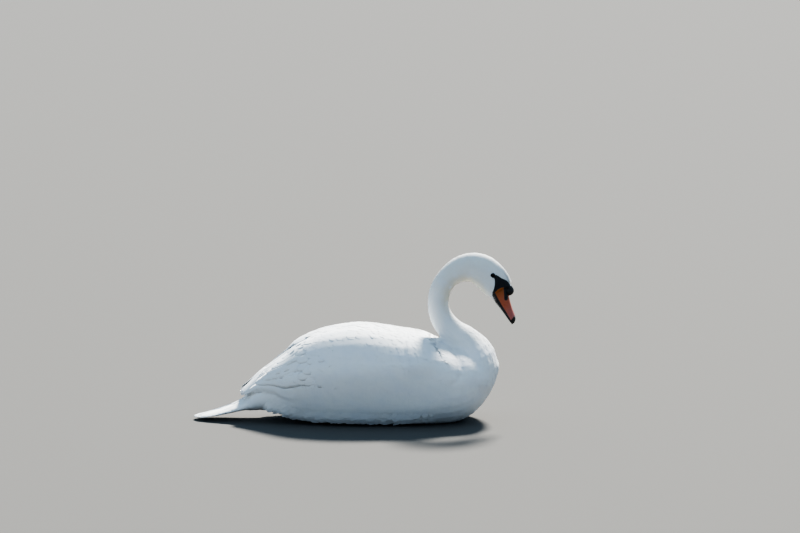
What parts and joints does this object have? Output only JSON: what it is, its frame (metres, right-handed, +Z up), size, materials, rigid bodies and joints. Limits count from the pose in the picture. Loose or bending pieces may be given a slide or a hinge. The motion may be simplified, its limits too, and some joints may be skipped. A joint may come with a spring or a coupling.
{
  "type": "mute swan model",
  "caption": "Life-size still figure of a mute swan lying on the ground, wings folded, its neck arched and its head bent down.",
  "frame": {"origin": "middle of the box's underside, on the ground under the belly", "axes": "+Z up, +X from the tail to the breast, +Y to the bird's left"},
  "size_m": [0.7751, 0.3172, 0.4059],
  "materials": {
    "plumage": "white feathers, matt",
    "bill": "orange horn, smooth, half matt",
    "bare_skin": "black skin and horn, half matt",
    "eye": "dark brown, wet gloss",
    "leg_skin": "black scaly skin, matt"
  },
  "bodies": {
    "root": {"trunk": "plumage", "tail": "plumage", "neck_lower": "plumage", "neck_middle": "plumage", "neck_upper": "plumage", "head": "plumage", "wing_left": "plumage", "wing_right": "plumage", "bill_upper": "bill", "bill_lower": "bare_skin", "bill_nail": "bare_skin", "bill_knob": "bare_skin", "eye_left": "eye", "eye_right": "eye", "leg_left": "leg_skin", "leg_right": "leg_skin", "foot_left": "leg_skin", "foot_right": "leg_skin"}
  },
  "joints": []
}
